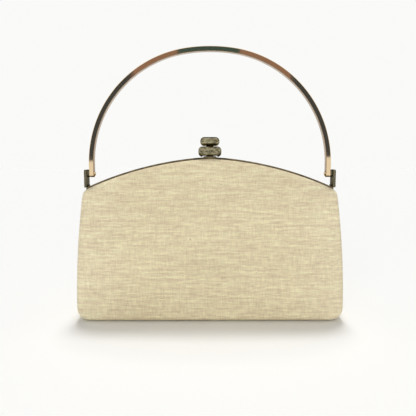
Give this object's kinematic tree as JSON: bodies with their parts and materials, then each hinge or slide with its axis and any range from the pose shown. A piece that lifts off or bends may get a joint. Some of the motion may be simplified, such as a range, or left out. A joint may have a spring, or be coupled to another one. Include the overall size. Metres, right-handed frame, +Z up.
{
  "type": "framed clutch bag with handle",
  "caption": "Padded silk evening bag with an arched hinged metal frame, a kiss-lock clasp of stacked barrel knobs and a swinging flat-bar arch handle.",
  "frame": {"origin": "middle of the face that the bag stands on", "axes": "+X to the bag's left-hand side seen from behind, which is the viewer's right in front; +Y to the rear; +Z up; the front faces -Y"},
  "size_m": [0.216, 0.0456, 0.22],
  "materials": {
    "cover_silk": "slub silk, champagne, fine weave",
    "lining_satin": "smooth satin, champagne",
    "stiff_board": "pressed greyboard",
    "wadding": "cotton wadding",
    "frame_metal": "aged gold plating, dull",
    "lug_metal": "aged plating, grey-olive",
    "handle_gold": "mirror-polished gold plating",
    "clasp_gold": "polished, slightly tarnished gold plating"
  },
  "bodies": {
    "root": {"base_cover": "cover_silk", "base_board": "stiff_board", "base_lining": "lining_satin", "front_cover_lower": "cover_silk", "front_cover_fold": "cover_silk", "front_padding_lower": "wadding", "front_board_lower": "stiff_board", "front_lining_lower": "lining_satin", "front_lining_fold": "lining_satin", "rear_cover": "cover_silk", "rear_padding": "wadding", "rear_board": "stiff_board", "rear_lining": "lining_satin", "lining_pocket": "lining_satin", "left_gusset": "cover_silk", "right_gusset": "cover_silk", "left_gusset_fold": "cover_silk", "right_gusset_fold": "cover_silk", "rear_frame": "frame_metal", "left_hinge_rivet": "lug_metal", "right_hinge_rivet": "lug_metal", "left_lug": "lug_metal", "right_lug": "lug_metal", "lug_rivets": "lug_metal", "left_handle_rivet": "handle_gold", "right_handle_rivet": "handle_gold", "handle_washers": "lug_metal", "rear_clasp_base": "frame_metal", "rear_clasp_knob": "clasp_gold"},
    "front_half": {"front_frame": "frame_metal", "front_cover_upper": "cover_silk", "front_padding_upper": "wadding", "front_board_upper": "stiff_board", "front_lining_upper": "lining_satin", "front_clasp_base": "frame_metal", "front_clasp_knob": "clasp_gold"},
    "handle": {"handle": "handle_gold"}
  },
  "joints": [
    {"name": "frame_hinge", "type": "hinge", "parent": "root", "child": "front_half", "pos_m": [0, 0, 0.064], "axis": [1, 0, 0], "range_deg": [0, 42], "deforming": ["front_cover_fold", "front_lining_fold", "left_gusset_fold", "right_gusset_fold"]},
    {"name": "handle_swing", "type": "hinge", "parent": "root", "child": "handle", "pos_m": [0, 0, 0.1185], "axis": [-1, 0, 0], "range_deg": [-105, 105]}
  ]
}
